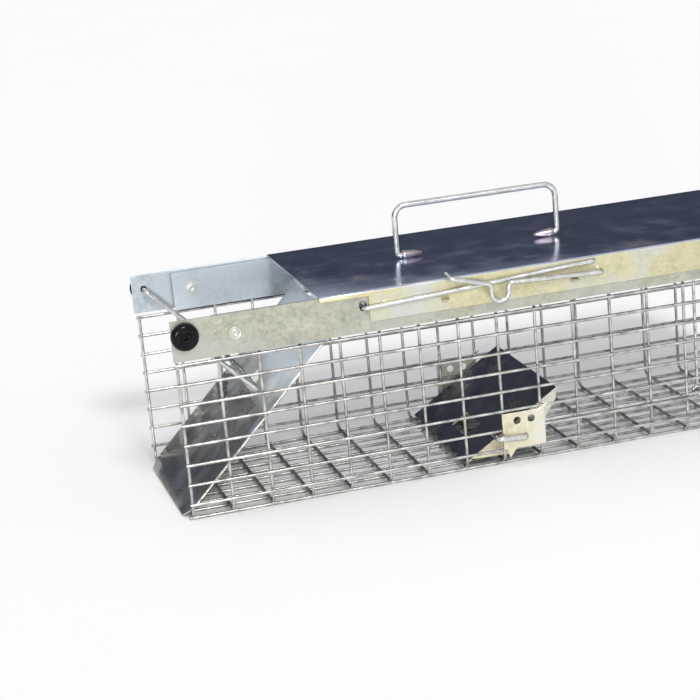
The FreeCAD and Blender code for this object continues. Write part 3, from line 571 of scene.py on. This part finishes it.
class TRAP_OT_pan(bpy.types.Operator):
    """Makes the trip pan and its bearing plates"""
    bl_idname = "trap.pan"
    bl_label = "Trip pan"

    def execute(self, context):
        edge = context.scene.trap_sizes.edge
        # Painted shade: the pan's top gets a darkened blue-grey base colour, standing in for the dark it lies in under
        # the top plate.
        pan = rolled_zinc("pan_top_painted_shade", srgb("#5d6373"), srgb("#474c5c"), srgb("#77746c"),
                          (0.2, 1.0, 1.0), (0.16, 0.3))
        lit_pan_sides = spangled_zinc("pan_sides_painted_light", srgb("#e2dcc2"), srgb("#c2bca2"), srgb("#d8d6cc"), 2.4)
        mesh = copied("trip_pan")
        # Painted light: faces turned sideways take the cream copy, so the one sheet is cream where lit from the front
        # and dark on top.
        for face in mesh.faces:
            face.material_index = int(abs(face.normal.y) > 0.7)
        settle(mesh, "trip_pan_sheet", (pan, lit_pan_sides), "pan", ("trip_pan",), edge)
        plate = spangled_zinc("galvanised_bearing_sheet", srgb("#e2dcc2"), srgb("#c2bca2"), srgb("#d8d6cc"), 3.0)
        for side, _ in SIDES:
            node = f"{side}_bearing_plate"
            settle(copied(node), f"{node}_sheet", plate, "cage", (node,), edge)
        return {"FINISHED"}


class TRAP_OT_caps(bpy.types.Operator):
    """Turns the moulded caps on the bail's ends"""
    bl_idname = "trap.caps"
    bl_label = "Bail caps"

    def execute(self, context):
        finish = moulded_black("moulded_black_cap", srgb("#0c0d0f"))
        for side, sign in SIDES:
            start = place(BAIL_PIVOT[0], sign * CAP_START, BAIL_PIVOT[1])
            settle(turned(CAP, start, (0, sign, 0), 64), f"{side}_cap_moulding", finish, "bail",
                   (f"{side}_bail_cap",), angle=50)
        return {"FINISHED"}


class TRAP_OT_stage(bpy.types.Operator):
    """Sets the pale floor, the soft lights and the camera"""
    bl_idname = "trap.stage"
    bl_label = "Studio"

    def execute(self, context):
        scene = context.scene
        mesh = bmesh.new()
        bmesh.ops.create_grid(mesh, x_segments=1, y_segments=1, size=12.0)
        data = bpy.data.meshes.new("studio_floor")
        mesh.to_mesh(data)
        mesh.free()
        floor = bpy.data.objects.new("studio_floor", data)
        data.materials.append(painted_floor("matt_floor", scene.trap_colours.floor[:]))
        data.transform(Matrix.Translation((0, 0, -0.0002)))
        scene.collection.objects.link(floor)
        world = bpy.data.worlds.new("soft_studio")
        scene.world = world
        world.use_nodes = True
        tree = world.node_tree
        where = add(tree, "ShaderNodeTexCoord").outputs["Generated"]
        parts = add(tree, "ShaderNodeSeparateXYZ", links={0: where}).outputs
        low = span(tree, parts[2], 1.0, 0.0, 0.36, 0.60)
        behind = span(tree, parts[1], 0.0, 1.0, -0.1, 0.35)
        flag = add(tree, "ShaderNodeMath", {"operation": "MULTIPLY"}, {0: low, 1: behind}).outputs[0]
        tree.links.new(blend(tree, flag, srgb("#f4f5f7"), srgb("#4a505f")), tree.nodes["Background"].inputs["Color"])
        tree.nodes["Background"].inputs["Strength"].default_value = 0.80
        for name, towards, spread, power in (("key_light", (0.05, -0.8, 0.62), 12, 1.7),
                                             ("low_light", (-0.3, -0.95, 0.05), 7, 1.2)):
            lamp = bpy.data.lights.new(name, "SUN")
            lamp.angle = math.radians(spread)
            lamp.energy = power
            thing = bpy.data.objects.new(name, lamp)
            thing.matrix_world = Vector(towards).to_track_quat("Z", "Y").to_matrix().to_4x4()
            scene.collection.objects.link(thing)
        lens = bpy.data.cameras.new("view")
        lens.lens = 104.15
        lens.sensor_width = 36.0
        camera = bpy.data.objects.new("view", lens)
        right, up, back = Vector((0.95669, -0.27822, -0.08568)), Vector((0.15628, 0.24252, 0.95748)), \
            Vector((-0.24561, -0.92940, 0.27550))
        turn = Matrix((right, up, back)).transposed().to_4x4()
        camera.matrix_world = Matrix.Translation((-0.413536, -1.215100, 0.434330)) @ turn
        scene.collection.objects.link(camera)
        scene.camera = camera
        scene.view_settings.view_transform = "Standard"
        return {"FINISHED"}


OPERATORS = (TRAP_OT_mesh, TRAP_OT_rails, TRAP_OT_plate, TRAP_OT_rods, TRAP_OT_door, TRAP_OT_pan, TRAP_OT_caps,
             TRAP_OT_stage)


class TRAP_PT_panel(bpy.types.Panel):
    """Lists the trap's pieces"""
    bl_idname = "TRAP_PT_panel"
    bl_label = "Live catch trap"
    bl_space_type = "VIEW_3D"
    bl_region_type = "UI"
    bl_category = "Trap"

    def draw(self, context):
        for group in (context.scene.trap_sizes, context.scene.trap_colours):
            for key in group.bl_rna.properties.keys():
                if key not in ("rna_type", "name"):
                    self.layout.prop(group, key)
        for made in OPERATORS:
            self.layout.operator(made.bl_idname)


CLASSES = (TrapSizes, TrapColours, *OPERATORS, TRAP_PT_panel)


def register():
    for made in CLASSES:
        bpy.utils.register_class(made)
    bpy.types.Scene.trap_sizes = PointerProperty(type=TrapSizes)
    bpy.types.Scene.trap_colours = PointerProperty(type=TrapColours)


def unregister():
    del bpy.types.Scene.trap_colours
    del bpy.types.Scene.trap_sizes
    for made in reversed(CLASSES):
        bpy.utils.unregister_class(made)


def main():
    """Builds every piece in order."""
    register()
    for made in OPERATORS:
        group, name = made.bl_idname.split(".")
        getattr(getattr(bpy.ops, group), name)()


if __name__ == "__main__":
    main()
